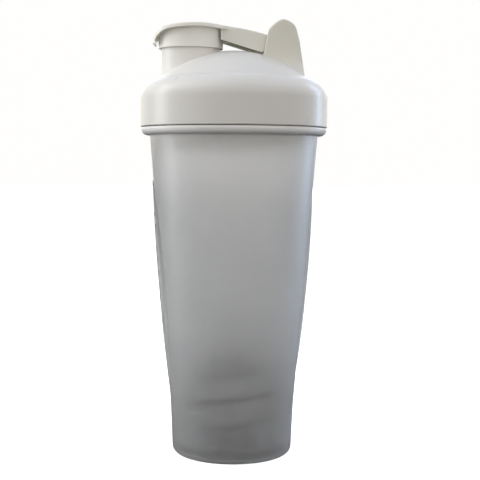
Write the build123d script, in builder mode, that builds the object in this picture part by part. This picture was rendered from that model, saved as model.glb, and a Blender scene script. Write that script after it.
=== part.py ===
"""Shaker bottle: tapered cup, screw lid with spout and carry loop, flip cap, gasket and wire whisk ball.

Millimetres. +Z is up, the origin is the centre of the base, and the spout points along -X.
"""
from build123d import *
import math
import os

os.makedirs("parts", exist_ok=True)

# ---------------------------------------------------------------- driving dimensions
# Cup
base_radius = 29.9          # outer radius that the wall's cone would have at the base plane
foot_radius = 30.85         # outer radius at the base plane: the foot tapers less than the wall above it
foot_top = 26.0             # where the foot's taper ends and the wall's cone begins
collar_foot_radius = 43.0   # outer radius of the cone where the collar starts
collar_foot_height = 164.0
cup_wall = 1.5
floor_height = 3.3          # top of the cup's floor
foot_recess = 1.2           # depth of the hollow under the base
foot_inner_radius = 25.3    # inner edge of the ring that the cup stands on
foot_edge_radius = 3.2      # rounding where the wall meets the foot
inner_corner_radius = 5.0   # rounding where the wall meets the floor
collar_radius = 47.4
collar_top = 167.9
collar_underside_radius = 3.2
collar_lip_height = 166.9   # where the collar's rounded underside ends and its outer edge begins
neck_radius = 42.9
neck_wall = 1.5
rim_height = 187.3

# Raised side panels of the cup
panel_turn = 10.0           # the cup is screwed into the lid 10 degrees away from the spout's direction
panel_half_width = 8.3      # at the widest height; both ends are points
panel_bottom = 31.5
panel_widest = 88.0
panel_top = 141.0
panel_bulge = 1.5           # how far the panel stands out at its middle

# Thread: two starts
thread_lead = 12.0
thread_starts = 2
thread_bottom = 171.0
thread_rise = 12.5          # height that each ridge climbs
ridge_height = 2.0
ridge_root_width = 2.0
ridge_crest_width = 1.1
ridge_root_depth = 0.4      # how far a ridge is rooted in its wall
thread_play = 0.4           # axial gap between a lid ridge and the cup ridge above it
lid_thread_turn = 60.0      # the lid's ridges begin this far up the helix, clear of the collar

# Lid
skirt_radius = 47.8
skirt_wall = 1.8
skirt_bottom = 168.3
shoulder_radius = 10.0
shoulder_start = 183.2      # height where the skirt begins to round over
dome_radius = 59.0
dome_top = 207.2
crease_offset = 0.9         # how far outside the crest of the shoulder's arc the dome begins
dome_wall = 1.8
seal_face = 189.0           # face above the gasket
seal_ring_outer = 40.4      # ring that hangs inside the cup's mouth
seal_ring_inner = 38.8
seal_ring_bottom = 184.0

# Spout
spout_x = -22.3
spout_radius = 15.0
spout_bore = 13.2
spout_top = 213.5

# Ears and crossbar of the carry loop
ear_gap = 20.4
ear_thickness = 3.4
ear_edge = 1.0              # rounding of the ears' outer edges

# Flip cap
pivot_x = 19.5
pivot_z = 210.6
pin_radius = 2.0
pin_length = 2.2
pin_clearance = 0.08
barrel_radius = 3.3
arm_width = 19.2
arm_wall = 1.5
plate_thickness = 1.8
back_start = (-33.0, 218.5)     # side view: where the lever's back begins to fall towards the thumb lip
back_start_slope = 7.5
back_radius = 119.0
nose_radius = 12.2
lip_shoulder = (-41.9, 213.0)
lip_end = (-40.8, 209.6)
lip_radius = 2.4
lever_edge = 0.7            # rounding of the back's rim
paddle_radius = 19.8
closure_radius = 16.4
closure_bore = 15.5
closure_bottom = 207.8
plug_radius = 12.8
plug_wall = 1.2
plug_bottom = 210.6

# Gasket
gasket_inner = 40.5
gasket_outer = 43.0
gasket_gap = 0.05           # to the rim below it and to the lid above it

# Whisk ball
wire_radius = 1.15
ball_radius = 25.0          # radius of the sphere that the wire's centre line follows
ball_growth = 1.34          # growth of the flat spiral for each half turn
ball_half_turns = 14


def cone_radius(height):
    """Outer radius of the cone that the cup's wall follows above the foot."""
    return base_radius + (collar_foot_radius - base_radius) * height / collar_foot_height


def foot_cone_radius(height):
    """Outer radius of the foot, which tapers less."""
    return foot_radius + (cone_radius(foot_top) - foot_radius) * height / foot_top


def inside_panel(height):
    """Radius just inside the wall, where the panels are rooted."""
    return cone_radius(height) - cup_wall / 2


def thread(radius, outward, start_height, start_turn=0):
    """Both ridges of a screw thread: trapezoids that climb a cylinder, standing out of it or into it.

    start_turn moves the ridges' lower ends up along the same helix, by an angle in degrees.
    """
    start_height += thread_lead * start_turn / 360
    reach = ridge_height if outward else -ridge_height
    root = -ridge_root_depth if outward else ridge_root_depth
    with BuildPart() as ridge:
        with BuildLine() as climb:
            Helix(pitch=thread_lead, height=thread_rise, radius=radius, center=(0, 0, start_height))
        section_plane = Plane(origin=(radius, 0, start_height), x_dir=(1, 0, 0), z_dir=(0, 1, 0))
        with BuildSketch(section_plane):
            with BuildLine():
                Polyline(
                    (root, -ridge_root_width / 2),
                    (reach, -ridge_crest_width / 2),
                    (reach, ridge_crest_width / 2),
                    (root, ridge_root_width / 2),
                    close=True,
                )
            make_face()
        sweep(path=climb.line, is_frenet=True)
    return [ridge.part.rotate(Axis.Z, start_turn + turn * 360 / thread_starts) for turn in range(thread_starts)]


# ---------------------------------------------------------------- cup
cup_ridges = thread(neck_radius, True, thread_bottom)

# A panel is a pad between the wall and an arc that bows out of it, cut to a long leaf with two pointed ends.
with BuildPart() as panel_pad:
    with BuildSketch(Plane.XZ):
        with BuildLine():
            middle = (panel_bottom + panel_top) / 2
            ThreePointArc(
                (cone_radius(panel_bottom), panel_bottom),
                (cone_radius(middle) + panel_bulge, middle),
                (cone_radius(panel_top + 8) + 0.3, panel_top + 8),
            )
            Polyline(
                (cone_radius(panel_top + 8) + 0.3, panel_top + 8),
                (inside_panel(panel_top + 8), panel_top + 8),
                (inside_panel(panel_bottom), panel_bottom),
                (cone_radius(panel_bottom), panel_bottom),
            )
        make_face()
    revolve(axis=Axis.Z)
with BuildPart() as panel_outline:
    with BuildSketch(Plane.YZ.offset(base_radius / 2)):
        with BuildLine():
            ThreePointArc((0, panel_bottom), (panel_half_width, panel_widest), (0, panel_top))
            Line((0, panel_top), (0, panel_bottom))
        make_face()
        mirror(about=Plane.YZ)
    extrude(amount=collar_radius)
with BuildPart() as panel:
    add(panel_pad.part)
    add(panel_outline.part, mode=Mode.INTERSECT)

with BuildPart() as cup:
    with BuildSketch(Plane.XZ) as cup_section:
        with BuildLine():
            Polyline(
                (0, foot_recess),
                (foot_inner_radius - 1.0, foot_recess),
                (foot_inner_radius, 0),
                (foot_radius, 0),
                (cone_radius(foot_top), foot_top),
                (collar_foot_radius, collar_foot_height),
            )
            underside_start = (collar_foot_radius + 0.8, collar_foot_height)
            underside_end = (collar_radius, collar_lip_height)
            Line((collar_foot_radius, collar_foot_height), underside_start)
            RadiusArc(underside_start, underside_end, -collar_underside_radius)
            Polyline(
                underside_end,
                (collar_radius, collar_top),
                (neck_radius, collar_top),
                (neck_radius, rim_height),
                (neck_radius - neck_wall, rim_height),
                (neck_radius - neck_wall, collar_top - 2),
                (cone_radius(collar_top - 8) - cup_wall, collar_top - 8),
                (cone_radius(foot_top) - cup_wall, foot_top),
                (foot_cone_radius(floor_height) - cup_wall, floor_height),
                (0, floor_height),
                (0, foot_recess),
            )
        make_face()
        outer_foot = cup_section.vertices().sort_by_distance((foot_radius, 0, 0))[0]
        fillet(outer_foot, foot_edge_radius)
        inner_corner = (foot_cone_radius(floor_height) - cup_wall, floor_height, 0)
        inner_foot = cup_section.vertices().sort_by_distance(inner_corner)[0]
        fillet(inner_foot, inner_corner_radius)
        fillet(cup_section.vertices().group_by(Axis.Y)[-1], neck_wall * 0.35)
    revolve(axis=Axis.Z)
    for side in (0, 180):
        add(panel.part.rotate(Axis.Z, side + panel_turn))
    add(cup_ridges)
cup.part.label = "cup"
export_step(cup.part, "parts/cup.step")

# ---------------------------------------------------------------- lid
dome_centre = dome_top - dome_radius
crease_radius = skirt_radius - shoulder_radius + crease_offset
inner_skirt = skirt_radius - skirt_wall
inner_dome = dome_radius - dome_wall


def dome_height(radius, sphere=dome_radius):
    """Height of the dome's outer surface, or of a sphere inside it, at a distance from the axis."""
    return dome_centre + math.sqrt(sphere**2 - radius**2)


def on_shoulder(radius, arc_radius):
    """Height at a distance from the axis on an arc about the shoulder's centre."""
    return shoulder_start + math.sqrt(arc_radius**2 - (radius - (skirt_radius - shoulder_radius)) ** 2)


lid_ridges = thread(inner_skirt, False, thread_bottom - ridge_root_width - thread_play, lid_thread_turn)

with BuildPart() as spout_tube:
    with BuildSketch(Plane.XY.offset(dome_height(spout_radius - spout_x) - 6)):
        with Locations((spout_x, 0)):
            Circle(spout_radius)
    extrude(amount=spout_top - dome_height(spout_radius - spout_x) + 6)
    fillet(spout_tube.edges().group_by(Axis.Z)[-1], 0.7)

# One ear seen from the side: straight edges that lean together, and a rounded top.
with BuildPart() as ear:
    with BuildSketch(Plane.XZ.offset(ear_gap / 2)):
        with BuildLine():
            front_shoulder = (16.7, 215.6)
            rear_shoulder = (31.2, 216.4)
            Polyline(rear_shoulder, (32.6, 211.0), (35.6, 192.2), (13.2, 198.0), front_shoulder)
            Spline(
                front_shoulder,
                (19.3, 219.2),
                (24.4, 221.9),
                (28.9, 220.0),
                rear_shoulder,
                tangents=((0.24, 1.0), (0.32, -1.0)),
            )
        make_face()
    extrude(amount=ear_thickness)
    outer_face = ear.faces().sort_by(Axis.Y)[0]
    fillet(outer_face.edges(), ear_edge)

with BuildPart() as crossbar:
    with BuildSketch(Plane.XZ) as bar_section:
        with BuildLine():
            Polyline((28.2, 211.0), (28.2, 218.4), (30.0, 217.8), (31.9, 211.0), close=True)
        make_face()
        fillet(bar_section.vertices(), 0.8)
    extrude(amount=ear_gap / 2 + 0.5, both=True)

with BuildPart() as lid:
    shoulder_x = skirt_radius - shoulder_radius
    ring_top = dome_height(seal_ring_inner, inner_dome)
    with BuildSketch(Plane.XZ) as lid_section:
        with BuildLine():
            Line((inner_skirt, skirt_bottom), (skirt_radius, skirt_bottom))
            Line((skirt_radius, skirt_bottom), (skirt_radius, shoulder_start))
            shoulder_end = (crease_radius, on_shoulder(crease_radius, shoulder_radius))
            RadiusArc((skirt_radius, shoulder_start), shoulder_end, -shoulder_radius)
            dome_edge = (crease_radius, dome_height(crease_radius))
            Line(shoulder_end, dome_edge)
            RadiusArc(dome_edge, (0, dome_top), -dome_radius)
            Line((0, dome_top), (0, dome_top - dome_wall))
            RadiusArc((0, dome_top - dome_wall), (seal_ring_inner, ring_top), inner_dome)
            inner_arc = shoulder_radius - skirt_wall
            seal_edge = shoulder_x + math.sqrt(inner_arc**2 - (seal_face - shoulder_start) ** 2)
            Polyline(
                (seal_ring_inner, ring_top),
                (seal_ring_inner, seal_ring_bottom),
                (seal_ring_outer, seal_ring_bottom),
                (seal_ring_outer, seal_face),
                (seal_edge, seal_face),
            )
            RadiusArc((seal_edge, seal_face), (inner_skirt, shoulder_start), inner_arc)
            Line((inner_skirt, shoulder_start), (inner_skirt, skirt_bottom))
        make_face()
        fillet(lid_section.vertices().group_by(Axis.Y)[0], 0.5)
    revolve(axis=Axis.Z)
    add(lid_ridges)
    add(spout_tube.part)
    add(ear.part)
    add(mirror(ear.part, about=Plane.XZ, mode=Mode.PRIVATE))
    add(crossbar.part)
    # The spout and the ears reach through the dome's wall, so the dome is hollowed again.
    with BuildSketch(Plane.XZ):
        with BuildLine():
            Line((0, dome_top - dome_wall), (0, seal_ring_bottom))
            Line((0, seal_ring_bottom), (seal_ring_inner, seal_ring_bottom))
            Line((seal_ring_inner, seal_ring_bottom), (seal_ring_inner, ring_top))
            RadiusArc((seal_ring_inner, ring_top), (0, dome_top - dome_wall), -inner_dome)
        make_face()
    revolve(axis=Axis.Z, mode=Mode.SUBTRACT)
    with BuildSketch(Plane.XY.offset(seal_ring_bottom)):
        with Locations((spout_x, 0)):
            Circle(spout_bore)
    extrude(amount=spout_top - seal_ring_bottom + 1, mode=Mode.SUBTRACT)
    # Blind holes for the flip cap's pins, open towards the gap between the ears.
    with BuildSketch(Plane.XZ):
        with Locations((pivot_x, pivot_z)):
            Circle(pin_radius + pin_clearance)
    extrude(amount=ear_gap / 2 + pin_length + 0.2, both=True, mode=Mode.SUBTRACT)
lid.part.label = "lid"
export_step(lid.part, "parts/lid.step")

# ---------------------------------------------------------------- gasket
with BuildPart() as lid_gasket:
    with BuildSketch(Plane.XZ) as gasket_section:
        with BuildLine():
            gasket_low = rim_height + gasket_gap
            gasket_high = seal_face - gasket_gap
            Polyline(
                (gasket_inner, gasket_low),
                (gasket_outer, gasket_low),
                (gasket_outer, gasket_high),
                (gasket_inner, gasket_high),
                close=True,
            )
        make_face()
        fillet(gasket_section.vertices(), 0.3)
    revolve(axis=Axis.Z)
lid_gasket.part.label = "lid_gasket"
export_step(lid_gasket.part, "parts/lid_gasket.step")

# ---------------------------------------------------------------- flip cap
closure_right = spout_x + closure_radius
arm_side = arm_width / 2
barrel_front = pivot_x - barrel_radius


def beside(point, centre, radius):
    """The point at a radius from a centre, in the direction of another point."""
    reach = radius / math.dist(point, centre)
    return (centre[0] + (point[0] - centre[0]) * reach, centre[1] + (point[1] - centre[1]) * reach)


# The lever's back is a long shallow arc, then a tighter one that falls to the thumb lip, then the lip's round end.
# back_start is where the first two arcs meet, and their centres lie on one line through it.
back_slope = math.radians(back_start_slope)
inward = (math.sin(back_slope), -math.cos(back_slope))
back_centre = (back_start[0] + back_radius * inward[0], back_start[1] + back_radius * inward[1])
nose_centre = (back_start[0] + nose_radius * inward[0], back_start[1] + nose_radius * inward[1])
back_end = beside((pivot_x + 0.9, pivot_z + barrel_radius), back_centre, back_radius)
nose_end = beside(lip_shoulder, nose_centre, nose_radius)

with BuildSketch(Plane.XZ) as lever_side:
    with BuildLine():
        RadiusArc(back_end, back_start, -back_radius)
        RadiusArc(back_start, nose_end, -nose_radius)
        RadiusArc(nose_end, lip_end, -lip_radius)
        Polyline(lip_end, (lip_end[0], dome_top - 8), (back_end[0], dome_top - 8), back_end)
    make_face()
with BuildSketch(Plane.XZ) as under_side:
    with BuildLine():
        lower_back_end = beside(back_end, back_centre, back_radius - plate_thickness)
        lower_back_start = beside(back_start, back_centre, back_radius - plate_thickness)
        lower_nose_end = beside(nose_end, nose_centre, nose_radius - plate_thickness)
        lip_inside = (lower_nose_end[0], lip_end[1] + 0.7)
        RadiusArc(lower_back_end, lower_back_start, -(back_radius - plate_thickness))
        RadiusArc(lower_back_start, lower_nose_end, -(nose_radius - plate_thickness))
        Polyline(
            lower_nose_end,
            lip_inside,
            lip_end,
            (lip_end[0] - 3, dome_top - 9),
            (lower_back_end[0] + 2, dome_top - 9),
            (lower_back_end[0] + 2, lower_back_end[1]),
            lower_back_end,
        )
    make_face()
lever_space = extrude(lever_side.sketch, amount=paddle_radius + 2, both=True, mode=Mode.PRIVATE)
under_plate = extrude(under_side.sketch, amount=paddle_radius + 3, both=True, mode=Mode.PRIVATE)

with BuildPart() as paddle:
    with BuildSketch(Plane.XY.offset(200)) as paddle_outline:
        with Locations((spout_x, 0)):
            Circle(paddle_radius)
        with Locations(((spout_x + pivot_x + barrel_radius) / 2, 0)):
            Rectangle(pivot_x + barrel_radius - spout_x, arm_width)
        waist = paddle_outline.vertices().filter_by(lambda v: closure_right - 3 < v.X < closure_right + 8)
        fillet(waist, 8)
    extrude(amount=30)

# The lever's plate: the outline cut to the space between the back and the hollow under it, with a rounded rim.
with BuildPart() as plate:
    add(paddle.part)
    add(lever_space, mode=Mode.INTERSECT)
    add(under_plate, mode=Mode.SUBTRACT)
    back_faces = plate.faces().filter_by(lambda face: face.normal_at(face.center()).Z > 0.3)
    upright = plate.faces().filter_by(lambda face: abs(face.normal_at(face.center()).Z) < 0.02)
    side_edges = upright.filter_by(lambda face: abs(face.center().Y) > 1).edges()
    rim = [edge for edge in back_faces.edges() if edge in side_edges]
    fillet(rim, lever_edge)

with BuildPart() as closure:
    with BuildSketch(Plane.XY.offset(closure_bottom)):
        with Locations((spout_x, 0)):
            Circle(closure_radius)
            Circle(closure_bore, mode=Mode.SUBTRACT)
    extrude(amount=20)
    fillet(closure.edges().group_by(Axis.Z)[0], 0.35)
    with BuildSketch(Plane.XY.offset(plug_bottom)):
        with Locations((spout_x, 0)):
            Circle(plug_radius)
            Circle(plug_radius - plug_wall, mode=Mode.SUBTRACT)
    extrude(amount=20)
    plug_foot = closure.edges().filter_by_position(Axis.Z, plug_bottom - 0.1, plug_bottom + 0.1)
    fillet(plug_foot, plug_wall * 0.35)
    add(lever_space, mode=Mode.INTERSECT)

with BuildPart() as arm_walls:
    with BuildSketch(Plane.XZ):
        with BuildLine():
            Polyline(
                (closure_right - 1, 212.1),
                (13.8, 205.8),
                (barrel_front + 0.8, pivot_z - 2.0),
                (pivot_x, pivot_z),
                (pivot_x, 225),
                (closure_right - 1, 225),
                close=True,
            )
        make_face()
    extrude(amount=arm_side, both=True)
    with BuildSketch(Plane.XZ):
        with Locations((0, 215)):
            Rectangle(60, 40)
    extrude(amount=arm_side - arm_wall, both=True, mode=Mode.SUBTRACT)
    add(lever_space, mode=Mode.INTERSECT)
    outer_sides = arm_walls.faces().filter_by(lambda face: abs(face.center().Y) > arm_side - 0.1)
    fillet([face.edges().sort_by(Axis.Z)[-1] for face in outer_sides], lever_edge)

with BuildPart() as flip_cap:
    add(plate.part)
    add(closure.part)
    add(arm_walls.part)
    with BuildSketch(Plane.XZ):
        with Locations((pivot_x, pivot_z)):
            Circle(barrel_radius)
    extrude(amount=arm_side, both=True)
    with BuildSketch(Plane.XZ):
        with Locations((pivot_x, pivot_z)):
            Circle(pin_radius)
    extrude(amount=ear_gap / 2 + pin_length, both=True)
flip_cap.part.label = "flip_cap"
export_step(flip_cap.part, "parts/flip_cap.step")

# ---------------------------------------------------------------- whisk ball
spiral_start = ball_growth ** (-ball_half_turns / 2)
lowest_turn = ball_radius * (1 - spiral_start**2) / (1 + spiral_start**2)
ball_centre = floor_height + wire_radius + lowest_turn + 0.05


def on_ball(flat_x, flat_y):
    """Point of the ball's sphere that stands over a point of the plane through its equator, seen from the top pole."""
    reach = flat_x**2 + flat_y**2 + 1
    return (
        2 * ball_radius * flat_x / reach,
        2 * ball_radius * flat_y / reach,
        ball_centre + ball_radius * (reach - 2) / reach,
    )


# The wire is a flat spiral of half circles, each larger than the last, laid onto the sphere: every half circle
# becomes an arc of a circle on the sphere, and neighbours stay tangent.
with BuildPart() as whisk_ball:
    with BuildLine() as wire:
        for half_turn in range(ball_half_turns):
            side = 1 if half_turn % 2 == 0 else -1
            near = side * spiral_start * ball_growth**half_turn
            far = -near * ball_growth
            middle = (near + far) / 2
            bow = side * abs(near - far) / 2
            ThreePointArc(on_ball(near, 0), on_ball(middle, bow), on_ball(far, 0))
    first = wire.line @ 0
    with BuildSketch(Plane(origin=first, z_dir=wire.line % 0)):
        Circle(wire_radius)
    sweep(path=wire.line)
whisk_ball.part.label = "whisk_ball"
export_step(whisk_ball.part, "parts/whisk_ball.step")
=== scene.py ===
import math

import bmesh
import bpy
from mathutils import Euler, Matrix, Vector
from mathutils.bvhtree import BVHTree


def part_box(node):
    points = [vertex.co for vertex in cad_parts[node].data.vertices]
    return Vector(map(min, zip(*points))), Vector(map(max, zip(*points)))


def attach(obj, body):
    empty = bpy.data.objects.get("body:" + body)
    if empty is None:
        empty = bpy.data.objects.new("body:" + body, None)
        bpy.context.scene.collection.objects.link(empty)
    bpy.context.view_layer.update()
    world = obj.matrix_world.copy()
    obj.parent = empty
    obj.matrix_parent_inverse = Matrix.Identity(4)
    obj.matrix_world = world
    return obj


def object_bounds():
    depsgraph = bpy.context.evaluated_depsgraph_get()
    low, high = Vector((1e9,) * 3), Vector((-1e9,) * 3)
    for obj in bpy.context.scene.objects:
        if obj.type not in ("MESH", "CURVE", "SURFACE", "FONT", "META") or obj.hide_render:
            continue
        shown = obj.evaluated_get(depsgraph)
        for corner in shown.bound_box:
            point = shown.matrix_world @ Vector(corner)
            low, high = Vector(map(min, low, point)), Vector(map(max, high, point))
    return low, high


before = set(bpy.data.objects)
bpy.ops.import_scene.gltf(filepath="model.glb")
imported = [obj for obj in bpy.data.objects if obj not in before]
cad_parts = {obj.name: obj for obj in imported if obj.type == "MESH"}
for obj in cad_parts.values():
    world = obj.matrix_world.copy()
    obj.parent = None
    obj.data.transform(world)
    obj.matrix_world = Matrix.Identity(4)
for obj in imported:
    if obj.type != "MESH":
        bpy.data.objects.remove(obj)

# Metres throughout, in the CAD model's frame: +Z up, the spout towards -X, the camera on the -Y side.
MM = 0.001
cad_low, cad_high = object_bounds()
cup_low, cup_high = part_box("cup")
cap_low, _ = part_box("flip_cap")
scene = bpy.context.scene
collection = scene.collection


# ---------------------------------------------------------------- node helpers

class Nodes:
    """Builds a node tree; each method returns the socket that the next node takes."""

    def __init__(self, tree):
        self.tree = tree
        tree.nodes.clear()

    def add(self, kind, **values):
        node = self.tree.nodes.new(kind)
        for key, value in values.items():
            setattr(node, key, value)
        return node

    def link(self, source, target):
        self.tree.links.new(source, target)

    def place(self, node, name, value):
        """Set an input to a number or colour, or link a socket to it."""
        if isinstance(value, bpy.types.NodeSocket):
            self.link(value, node.inputs[name])
        else:
            node.inputs[name].default_value = value

    def noise(self, vector, scale, detail=3, roughness=0.5):
        node = self.add("ShaderNodeTexNoise")
        self.link(vector, node.inputs["Vector"])
        node.inputs["Scale"].default_value = scale
        node.inputs["Detail"].default_value = detail
        node.inputs["Roughness"].default_value = roughness
        return node.outputs["Fac"]

    def stretched(self, vector, scale):
        """The vector with each axis scaled, so that a noise read with it runs in streaks."""
        node = self.add("ShaderNodeMapping")
        self.link(vector, node.inputs["Vector"])
        node.inputs["Scale"].default_value = scale
        return node.outputs["Vector"]

    def ranged(self, value, low, high, to_low=0.0, to_high=1.0):
        """Map low..high to to_low..to_high, held at both ends."""
        node = self.add("ShaderNodeMapRange")
        self.link(value, node.inputs["Value"])
        node.inputs["From Min"].default_value = low
        node.inputs["From Max"].default_value = high
        node.inputs["To Min"].default_value = to_low
        node.inputs["To Max"].default_value = to_high
        return node.outputs["Result"]

    def math(self, operation, first, second):
        node = self.add("ShaderNodeMath", operation=operation)
        self.place(node, 0, first)
        self.place(node, 1, second)
        return node.outputs["Value"]

    def mixed(self, factor, first, second):
        """Blend two colours: first at 0, second at 1."""
        node = self.add("ShaderNodeMix", data_type="RGBA")
        self.place(node, "Factor", factor)
        for name, value in (("A_Color", first), ("B_Color", second)):
            socket = next(item for item in node.inputs if item.identifier == name)
            if isinstance(value, bpy.types.NodeSocket):
                self.link(value, socket)
            else:
                socket.default_value = (*value, 1)
        return next(item for item in node.outputs if item.identifier == "Result_Color")

    def bump(self, height, strength, distance, normal=None):
        node = self.add("ShaderNodeBump")
        self.link(height, node.inputs["Height"])
        node.inputs["Strength"].default_value = strength
        node.inputs["Distance"].default_value = distance
        if normal:
            self.link(normal, node.inputs["Normal"])
        return node.outputs["Normal"]

    def object_coordinates(self):
        return self.add("ShaderNodeTexCoord").outputs["Object"]

    def axes(self, vector):
        node = self.add("ShaderNodeSeparateXYZ")
        self.link(vector, node.inputs["Vector"])
        return node.outputs["X"], node.outputs["Y"], node.outputs["Z"]

    def distance_from_axis(self, x, y):
        node = self.add("ShaderNodeCombineXYZ")
        self.link(x, node.inputs["X"])
        self.link(y, node.inputs["Y"])
        length = self.add("ShaderNodeVectorMath", operation="LENGTH")
        self.link(node.outputs["Vector"], length.inputs[0])
        return length.outputs["Value"]


def new_material(name, **settings):
    """A Principled material; settings are shader inputs that hold one value all over."""
    material = bpy.data.materials.new(name)
    material.use_nodes = True
    nodes = Nodes(material.node_tree)
    shader = nodes.add("ShaderNodeBsdfPrincipled")
    output = nodes.add("ShaderNodeOutputMaterial")
    nodes.link(shader.outputs["BSDF"], output.inputs["Surface"])
    for key, value in settings.items():
        shader.inputs[key.replace("_", " ")].default_value = value
    return material, nodes, shader


def dress(node_name, material):
    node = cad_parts[node_name]
    node.data.materials.clear()
    node.data.materials.append(material)


# ---------------------------------------------------------------- materials

collar_low = 163.5 * MM         # above this the cup is thicker and lets less light through
milky_band = 4 * MM             # it turns milky over this height below the collar, and for 2 mm above
painted_light_span = 34 * MM              # painted light makes the wall paler over this height below the collar
painted_shade_low = cup_low.z + 14 * MM     # painted shade makes the wall darkest up to here
painted_shade_high = cup_low.z + 66 * MM    # and the painted shade ends here, where the wall is at its plain colour
rough_below = cup_low.z + 85 * MM       # the frosting is coarsest below this
smooth_above = cup_low.z + 140 * MM     # and finest above this
foot_wear_low = cup_low.z + 1 * MM      # the foot is worn most below this
foot_wear_high = cup_low.z + 14 * MM    # and not at all above this
crease_radius = 38.7 * MM       # where the lid's dome meets its rounded shoulder
dome_edge_height = 191.5 * MM
painted_skirt_shade_top = 182 * MM      # painted shade darkens the skirt below here, against the shoulder above it
painted_skirt_shade_blend = 6 * MM
ear_inner = 10.2 * MM           # the ears' inner faces, either side of the flip cap's arm
ear_front = 13.0 * MM
ear_painted_shade_low = 199 * MM         # the ears' painted warm shade begins here
ear_painted_shade_high = 205 * MM        # and is full from here up
thumbed_near = cap_low.x + 1 * MM       # thumb marks are strongest at the flip cap's lip
thumbed_far = cap_low.x + 14 * MM       # and end here
closure_right = -5.9 * MM       # painted light makes the flip cap paler from its lip to the closure's side by the arm


def frosted_cup(name, extra_roughness=0.0, dark=0.0):
    """Cloudy polypropylene: fine matt grain, slow clouding, upright handling scuffs, a worn foot.

    Milky at the collar; painted light pales it below, painted shade darkens it towards the rougher foot.
    dark blends it to a dull grey.
    """
    material, nodes, shader = new_material(name, IOR=1.49, Specular_IOR_Level=0.42)
    where = nodes.object_coordinates()
    _, _, z = nodes.axes(where)
    clearness = nodes.ranged(z, collar_low - milky_band, collar_low + 2 * MM, 0.84, 0.12)
    nodes.link(clearness, shader.inputs["Transmission Weight"])
    clouds = nodes.noise(where, 38, 4, 0.55)
    foot_wear = nodes.ranged(z, foot_wear_low, foot_wear_high, 1, 0)
    foot_scuffs = nodes.math("MULTIPLY", foot_wear, nodes.noise(where, 420, 5, 0.7))
    streaks = nodes.noise(nodes.stretched(where, (520, 520, 26)), 1.0, 2)
    scuffs = nodes.ranged(streaks, 0.64, 0.76)
    color = nodes.mixed(nodes.ranged(clouds, 0.3, 0.7), (0.81, 0.815, 0.81), (0.86, 0.865, 0.865))
    # painted light: the wall is made paler towards the collar
    painted_top_light = nodes.ranged(z, collar_low - painted_light_span, collar_low - 2 * MM)
    color = nodes.mixed(nodes.math("MULTIPLY", painted_top_light, 0.9), color, (0.95, 0.95, 0.94))
    # painted shade: the wall is made darker towards the foot
    painted_foot_shade = nodes.ranged(z, painted_shade_low, painted_shade_high, 1, 0)
    color = nodes.mixed(nodes.math("MULTIPLY", painted_foot_shade, 0.75), color, (0.64, 0.645, 0.65))
    color = nodes.mixed(nodes.math("MULTIPLY", foot_scuffs, 0.4), color, (0.86, 0.86, 0.85))
    color = nodes.mixed(dark, color, (0.36, 0.37, 0.38))
    nodes.link(color, shader.inputs["Base Color"])
    grain = nodes.noise(where, 900, 3, 0.6)
    roughness = nodes.ranged(grain, 0.3, 0.7, 0.46 + extra_roughness, 0.52 + extra_roughness)
    clearer_top = nodes.ranged(z, rough_below, smooth_above, 0, 0.12)
    roughness = nodes.math("SUBTRACT", roughness, clearer_top)
    roughness = nodes.math("ADD", roughness, nodes.math("MULTIPLY", scuffs, 0.10))
    roughness = nodes.math("ADD", roughness, nodes.math("MULTIPLY", foot_scuffs, 0.18))
    nodes.link(roughness, shader.inputs["Roughness"])
    wavy = nodes.bump(nodes.noise(where, 45, 2), 0.22, 0.5 * MM)
    scuffed = nodes.bump(scuffs, 0.05, 0.03 * MM, wavy)
    nodes.link(nodes.bump(grain, 0.03, 0.02 * MM, scuffed), shader.inputs["Normal"])
    return material


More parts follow.
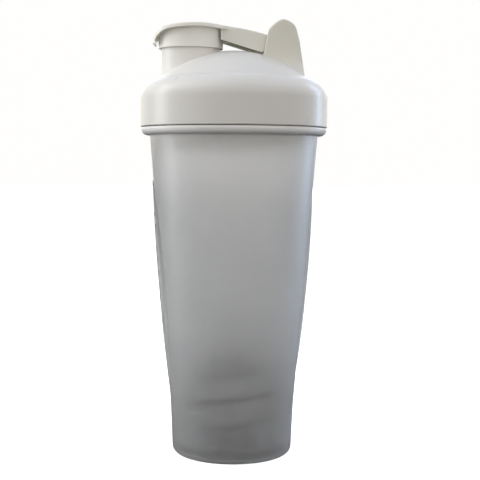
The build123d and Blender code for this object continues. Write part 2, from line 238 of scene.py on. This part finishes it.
def white_lid(name):
    """White polypropylene: a matter dome, painted shade on the skirt, a painted warm shade on the ears,
    orange peel, fine level scuffs.
    """
    material, nodes, shader = new_material(
        name, IOR=1.49, Subsurface_Weight=0.12, Subsurface_Scale=1.5 * MM, Specular_IOR_Level=0.5
    )
    shader.inputs["Subsurface Radius"].default_value = (1.0, 0.9, 0.7)
    where = nodes.object_coordinates()
    x, y, z = nodes.axes(where)
    radius = nodes.distance_from_axis(x, y)
    inside_crease = nodes.ranged(radius, crease_radius - 0.3 * MM, crease_radius + 0.3 * MM, 1, 0)
    above_crease = nodes.ranged(z, dome_edge_height - 1 * MM, dome_edge_height)
    dome = nodes.math("MULTIPLY", inside_crease, above_crease)
    drift = nodes.ranged(nodes.noise(where, 30, 4), 0.3, 0.7)
    color = nodes.mixed(drift, (0.735, 0.725, 0.695), (0.775, 0.765, 0.740))
    # painted shade: the skirt below the shoulder is made darker
    skirt = nodes.ranged(z, painted_skirt_shade_top, painted_skirt_shade_top + painted_skirt_shade_blend, 1, 0)
    color = nodes.mixed(nodes.math("MULTIPLY", skirt, 0.8), color, (0.66, 0.65, 0.625))
    grime_line = nodes.ranged(radius, crease_radius - 2.2 * MM, crease_radius, 0, 1)
    grime = nodes.math("MULTIPLY", nodes.math("MULTIPLY", grime_line, dome), nodes.noise(where, 160, 5, 0.7))
    color = nodes.mixed(nodes.math("MULTIPLY", grime, 0.22), color, (0.52, 0.50, 0.46))
    # painted warm shade: the ears are made darker and warmer than the rest of the lid
    ear_side = nodes.ranged(nodes.math("ABSOLUTE", y, 0.0), ear_inner - 0.2 * MM, ear_inner)
    ear = nodes.math("MULTIPLY", ear_side, nodes.ranged(x, ear_front, ear_front + 1 * MM))
    ear = nodes.math("MULTIPLY", ear, nodes.ranged(z, ear_painted_shade_low, ear_painted_shade_high))
    color = nodes.mixed(nodes.math("MULTIPLY", ear, 0.8), color, (0.67, 0.655, 0.565))
    streaks = nodes.noise(nodes.stretched(where, (60, 60, 1500)), 1.0, 2)
    scuffs = nodes.ranged(streaks, 0.66, 0.76)
    color = nodes.mixed(nodes.math("MULTIPLY", scuffs, 0.05), color, (0.66, 0.655, 0.64))
    nodes.link(color, shader.inputs["Base Color"])
    patches = nodes.ranged(nodes.noise(where, 85, 5, 0.6), 0.3, 0.7, 0.27, 0.32)
    roughness = nodes.math("ADD", patches, nodes.math("MULTIPLY", dome, 0.10))
    roughness = nodes.math("ADD", roughness, nodes.math("MULTIPLY", scuffs, 0.03))
    nodes.link(roughness, shader.inputs["Roughness"])
    peel = nodes.bump(nodes.noise(where, 210, 2), 0.12, 0.08 * MM)
    fine = nodes.bump(nodes.noise(where, 1500, 2), 0.10, 0.03 * MM, peel)
    nodes.link(fine, shader.inputs["Normal"])
    return material


def ivory_cap(name):
    """Ivory polypropylene: yellower than the lid, painted light over the spout, thumbed at its lip."""
    material, nodes, shader = new_material(
        name, IOR=1.49, Subsurface_Weight=0.2, Subsurface_Scale=3.0 * MM, Specular_IOR_Level=0.4
    )
    shader.inputs["Subsurface Radius"].default_value = (1.0, 0.9, 0.6)
    where = nodes.object_coordinates()
    x, _, _ = nodes.axes(where)
    drift = nodes.ranged(nodes.noise(where, 45, 4), 0.3, 0.7)
    color = nodes.mixed(drift, (0.735, 0.725, 0.655), (0.785, 0.775, 0.710))
    thumbed = nodes.ranged(x, thumbed_near, thumbed_far, 1, 0)
    smudge = nodes.math("MULTIPLY", thumbed, nodes.ranged(nodes.noise(where, 140, 4, 0.6), 0.35, 0.75))
    color = nodes.mixed(nodes.math("MULTIPLY", smudge, 0.06), color, (0.66, 0.64, 0.56))
    # painted light: the cap is made paler from its lip to the closure's side by the arm
    closure = nodes.ranged(x, closure_right - 3 * MM, closure_right + 1 * MM, 1, 0)
    color = nodes.mixed(nodes.math("MULTIPLY", closure, 0.75), color, (0.90, 0.885, 0.83))
    streaks = nodes.noise(nodes.stretched(where, (55, 1300, 1300)), 1.0, 2)
    scuffs = nodes.ranged(streaks, 0.66, 0.76)
    nodes.link(color, shader.inputs["Base Color"])
    roughness = nodes.ranged(nodes.noise(where, 110, 5, 0.6), 0.3, 0.7, 0.38, 0.48)
    roughness = nodes.math("SUBTRACT", roughness, nodes.math("MULTIPLY", smudge, 0.10))
    roughness = nodes.math("ADD", roughness, nodes.math("MULTIPLY", scuffs, 0.14))
    nodes.link(roughness, shader.inputs["Roughness"])
    peel = nodes.bump(nodes.noise(where, 260, 2), 0.18, 0.08 * MM)
    nodes.link(nodes.bump(scuffs, 0.12, 0.04 * MM, peel), shader.inputs["Normal"])
    return material


def drawn_steel(name):
    """Drawn wire with fine streaks and duller spots; its dark colour is painted shade, far darker than
    bright steel.
    """
    material, nodes, shader = new_material(name, Metallic=1.0)
    where = nodes.object_coordinates()
    spots = nodes.ranged(nodes.noise(where, 300, 5, 0.7), 0.5, 0.7)
    # painted shade: the wire is coloured far darker than bright drawn steel
    color = nodes.mixed(spots, (0.11, 0.107, 0.102), (0.08, 0.078, 0.074))
    nodes.link(color, shader.inputs["Base Color"])
    draw_lines = nodes.noise(where, 2600, 2)
    roughness = nodes.ranged(draw_lines, 0.3, 0.7, 0.20, 0.34)
    roughness = nodes.math("ADD", roughness, nodes.math("MULTIPLY", spots, 0.16))
    nodes.link(roughness, shader.inputs["Roughness"])
    nodes.link(nodes.bump(draw_lines, 0.15, 0.02 * MM), shader.inputs["Normal"])
    return material


def clear_silicone(name):
    """Milky silicone with a matt bloom."""
    material, nodes, shader = new_material(
        name, IOR=1.42, Subsurface_Weight=0.4, Subsurface_Scale=1.5 * MM, Transmission_Weight=0.2
    )
    where = nodes.object_coordinates()
    bloom = nodes.ranged(nodes.noise(where, 240, 4, 0.6), 0.3, 0.7)
    nodes.link(nodes.mixed(bloom, (0.70, 0.70, 0.69), (0.80, 0.80, 0.79)), shader.inputs["Base Color"])
    nodes.link(nodes.ranged(bloom, 0, 1, 0.40, 0.62), shader.inputs["Roughness"])
    nodes.link(nodes.bump(nodes.noise(where, 1400, 2), 0.2, 0.03 * MM), shader.inputs["Normal"])
    return material


cup_plastic = frosted_cup("frosted_plastic")
mark_plastic = frosted_cup("polished_marks", -0.15, 0.6)
dress("cup", cup_plastic)
dress("lid", white_lid("white_plastic"))
dress("flip_cap", ivory_cap("ivory_plastic"))
dress("whisk_ball", drawn_steel("steel_wire"))
dress("lid_gasket", clear_silicone("silicone"))


# ---------------------------------------------------------------- raised volume scales on the side panels

cup_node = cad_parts["cup"]
cup_tree = BVHTree.FromPolygons(
    [vertex.co for vertex in cup_node.data.vertices],
    [polygon.vertices for polygon in cup_node.data.polygons],
)
panel_turn = math.radians(10)
mark_height = 0.10 * MM         # how far the marks stand out of the panel
mark_root = 0.10 * MM           # how far they are sunk into it
tick_left = -3.9 * MM
tick_width = 0.45 * MM
major_tick = 2.3 * MM
minor_tick = 1.3 * MM
figure_left = -0.9 * MM
figure_size = 2.9 * MM
slice_width = 0.8 * MM          # the marks are cut this fine, so that they follow the panel's curve
ounce = 29.57e-6                # one fluid ounce in cubic metres


def inner_radius(height):
    hit = cup_tree.ray_cast(Vector((0, 0, height)), Vector((0, -1, 0)))
    return hit[3]


def fill_heights(volumes, step=0.5 * MM):
    """Height that a drink reaches for each volume, in rising order, summed up from the cup's floor."""
    floor_height = cup_tree.ray_cast(Vector((0, 0, cup_high.z)), Vector((0, 0, -1)))[0].z
    heights = []
    filled = 0.0
    height = floor_height
    for volume in volumes:
        while filled < volume:
            height += step
            filled += math.pi * inner_radius(height - step / 2) ** 2 * step
        heights.append(height)
    return heights


def add_tick(mesh, left, width, height):
    """A flat bar with round ends, in panel coordinates: across and up."""
    radius = tick_width / 2
    corners = []
    for centre, start in ((left + width - radius, -90), (left + radius, 90)):
        for step in range(7):
            angle = math.radians(start + step * 30)
            corners.append((centre + radius * math.cos(angle), height + radius * math.sin(angle), 0))
    mesh.faces.new([mesh.verts.new(corner) for corner in corners])


def add_figure(mesh, text, left, height, size):
    """Flat figures centred on a height, in panel coordinates."""
    curve = bpy.data.curves.new("figure", "FONT")
    curve.body = text
    curve.size = size
    curve.align_y = "CENTER"
    curve.resolution_u = 3
    holder = bpy.data.objects.new("figure", curve)
    outline = bpy.data.meshes.new_from_object(holder)
    for vertex in outline.vertices:
        vertex.co = (vertex.co.x + left, vertex.co.y + height, 0)
    mesh.from_mesh(outline)
    bpy.data.objects.remove(holder)
    bpy.data.curves.remove(curve)
    bpy.data.meshes.remove(outline)


def wrap_on_panel(mesh, direction):
    """Give flat marks a thickness and lay them on the panel that faces a direction."""
    outward = Vector((math.cos(direction), math.sin(direction), 0))
    rightward = Vector((-math.sin(direction), math.cos(direction), 0))
    across = math.floor(min(vertex.co.x for vertex in mesh.verts) / slice_width) * slice_width
    while across < max(vertex.co.x for vertex in mesh.verts):
        everything = mesh.verts[:] + mesh.edges[:] + mesh.faces[:]
        bmesh.ops.bisect_plane(mesh, geom=everything, plane_co=(across, 0, 0), plane_no=(1, 0, 0))
        across += slice_width
    raised = bmesh.ops.extrude_face_region(mesh, geom=mesh.faces[:])["geom"]
    for item in raised:
        if isinstance(item, bmesh.types.BMVert):
            item.co.z = 1
    for vertex in mesh.verts:
        start = outward * cad_high.z + rightward * vertex.co.x + Vector((0, 0, vertex.co.y))
        place, normal, _, _ = cup_tree.ray_cast(start, -outward)
        vertex.co = place + outward * (mark_height if vertex.co.z > 0.5 else -mark_root)
    bmesh.ops.recalc_face_normals(mesh, faces=mesh.faces[:])


def volume_scale(name, direction, volumes, labels, unit):
    mesh = bmesh.new()
    heights = fill_heights(volumes)
    for height, label in zip(heights, labels):
        add_tick(mesh, tick_left, major_tick if label else minor_tick, height)
        if label:
            add_figure(mesh, label, figure_left, height, figure_size)
    add_figure(mesh, unit, -1.6 * MM, heights[-1] + 6 * MM, figure_size)
    bmesh.ops.remove_doubles(mesh, verts=mesh.verts[:], dist=0.001 * MM)
    wrap_on_panel(mesh, direction)
    data = bpy.data.meshes.new(name)
    mesh.to_mesh(data)
    mesh.free()
    marks = bpy.data.objects.new(name, data)
    collection.objects.link(marks)
    data.materials.append(mark_plastic)
    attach(marks, "cup")


millilitres = list(range(150, 425, 25))
ounces = list(range(5, 15))
volume_scale(
    "scale_millilitres",
    math.pi + panel_turn,
    [amount * 1e-6 for amount in millilitres],
    [str(amount) if amount % 50 == 0 else "" for amount in millilitres],
    "ml",
)
volume_scale(
    "scale_ounces",
    panel_turn,
    [amount * ounce for amount in ounces],
    [str(amount) if amount % 2 == 0 else "" for amount in ounces],
    "oz",
)


# ---------------------------------------------------------------- moulding marks

def lathe(name, profile, segments=96):
    """A piece of the cup, turned about its axis from (radius, height) points."""
    mesh = bmesh.new()
    rings = []
    for radius, height in profile:
        ring = []
        for step in range(segments):
            angle = 2 * math.pi * step / segments
            ring.append(mesh.verts.new((
                radius * math.cos(angle),
                radius * math.sin(angle),
                height,
            )))
        rings.append(ring)
    for lower, upper in zip(rings, rings[1:]):
        for step in range(segments):
            after = (step + 1) % segments
            mesh.faces.new((lower[step], lower[after], upper[after], upper[step]))
    bmesh.ops.remove_doubles(mesh, verts=mesh.verts[:], dist=0.001 * MM)
    bmesh.ops.recalc_face_normals(mesh, faces=mesh.faces[:])
    data = bpy.data.meshes.new(name)
    mesh.to_mesh(data)
    mesh.free()
    for polygon in data.polygons:
        polygon.use_smooth = True
    turned = bpy.data.objects.new(name, data)
    collection.objects.link(turned)
    data.materials.append(mark_plastic)
    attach(turned, "cup")


underside = cup_tree.ray_cast(Vector((0, 0, -0.01)), Vector((0, 0, 1)))[0].z
gate_profile = [
    (0, underside - 0.55 * MM),
    (1.3 * MM, underside - 0.55 * MM),
    (1.7 * MM, underside - 0.40 * MM),
    (1.9 * MM, underside + 0.10 * MM),
    (0, underside + 0.10 * MM),
]
lathe("base_gate", gate_profile, segments=32)
ring_radius = 9 * MM
ring_profile = [
    (ring_radius - 0.6 * MM, underside + 0.10 * MM),
    (ring_radius - 0.4 * MM, underside - 0.25 * MM),
    (ring_radius + 0.4 * MM, underside - 0.25 * MM),
    (ring_radius + 0.6 * MM, underside + 0.10 * MM),
    (ring_radius - 0.6 * MM, underside + 0.10 * MM),
]
lathe("base_ring", ring_profile)


# ---------------------------------------------------------------- camera
camera_distance = 0.5484
camera_height = 0.1506
camera_down = math.radians(4.2)
camera_roll = math.radians(-0.42)
frame_pixels = 480
focal_pixels = 1061
axis_offset_pixels = 233.6 - frame_pixels / 2
camera_data = bpy.data.cameras.new("camera")
camera_data.sensor_width = 36
camera_data.lens = 36 * focal_pixels / frame_pixels
camera_data.shift_x = -axis_offset_pixels / frame_pixels
camera = bpy.data.objects.new("camera", camera_data)
collection.objects.link(camera)
camera.location = (0, -camera_distance, camera_height)
camera.rotation_euler = Euler((math.pi / 2 - camera_down, camera_roll, 0))
scene.camera = camera

# ---------------------------------------------------------------- lights
# Each: azimuth in degrees from the camera's side towards +X, height, distance, width, height, colour, watts.
softboxes = {
    "left_softbox": (-96, 0.28, 0.60, 0.22, 0.56, (0.95, 0.985, 1.0), 1.5),
    "high_left": (-62, 0.55, 0.45, 0.45, 0.30, (1.0, 0.99, 0.85), 0.4),
    "right_strip": (122, 0.26, 0.60, 0.11, 0.56, (0.54, 0.72, 1.0), 1.1),
    "back_softbox": (180, 0.45, 0.80, 0.90, 0.40, (0.62, 0.74, 1.0), 2.0),
}
aim = Vector((0, 0, 0.14))
for name, (azimuth, height, distance, width, tall, color, watts) in softboxes.items():
    light = bpy.data.lights.new(name, "AREA")
    light.shape = "RECTANGLE"
    light.size = width
    light.size_y = tall
    light.color = color
    light.energy = watts
    lamp = bpy.data.objects.new(name, light)
    angle = math.radians(azimuth)
    lamp.location = (distance * math.sin(angle), -distance * math.cos(angle), height)
    lamp.rotation_euler = (aim - lamp.location).to_track_quat("-Z", "Y").to_euler()
    collection.objects.link(lamp)

# ---------------------------------------------------------------- stage
# The floor and the backdrop are white to the camera. To every other ray the floor is dark grey and the room
# is tinted, which lights the bottle far less than a truly pale floor would.
bpy.ops.mesh.primitive_plane_add(size=12, location=(0, 0, cad_low.z))
floor = bpy.context.object
floor.name = "floor"
floor_paint, nodes, shader = new_material("floor_paint", Roughness=0.9)
shader.inputs["Base Color"].default_value = (0.07, 0.07, 0.074, 1)
pale = nodes.add("ShaderNodeBsdfPrincipled")
pale.inputs["Base Color"].default_value = (0.9, 0.9, 0.9, 1)
pale.inputs["Roughness"].default_value = 0.9
pale.inputs["Emission Color"].default_value = (1, 0.995, 0.985, 1)
pale.inputs["Emission Strength"].default_value = 0.80
chosen = nodes.add("ShaderNodeMixShader")
nodes.link(nodes.add("ShaderNodeLightPath").outputs["Is Camera Ray"], chosen.inputs["Fac"])
nodes.link(shader.outputs["BSDF"], chosen.inputs[1])
nodes.link(pale.outputs["BSDF"], chosen.inputs[2])
output = next(node for node in nodes.tree.nodes if node.bl_idname == "ShaderNodeOutputMaterial")
nodes.link(chosen.outputs["Shader"], output.inputs["Surface"])
floor.data.materials.append(floor_paint)

world = bpy.data.worlds.new("studio")
scene.world = world
world.use_nodes = True
nodes = Nodes(world.node_tree)
direction = nodes.add("ShaderNodeTexCoord").outputs["Generated"]
_, _, upward = nodes.axes(direction)
room = nodes.add("ShaderNodeBackground")
room_tint = nodes.mixed(nodes.ranged(upward, -0.1, 0.9), (1.0, 0.925, 0.79), (0.36, 0.40, 0.50))
nodes.link(room_tint, room.inputs["Color"])
room.inputs["Strength"].default_value = 1.5
backdrop = nodes.add("ShaderNodeBackground")
backdrop.inputs["Color"].default_value = (1, 0.995, 0.985, 1)
backdrop.inputs["Strength"].default_value = 1.0
chosen = nodes.add("ShaderNodeMixShader")
nodes.link(nodes.add("ShaderNodeLightPath").outputs["Is Camera Ray"], chosen.inputs["Fac"])
nodes.link(room.outputs["Background"], chosen.inputs[1])
nodes.link(backdrop.outputs["Background"], chosen.inputs[2])
nodes.link(chosen.outputs["Shader"], nodes.add("ShaderNodeOutputWorld").inputs["Surface"])
scene.view_settings.view_transform = "Standard"
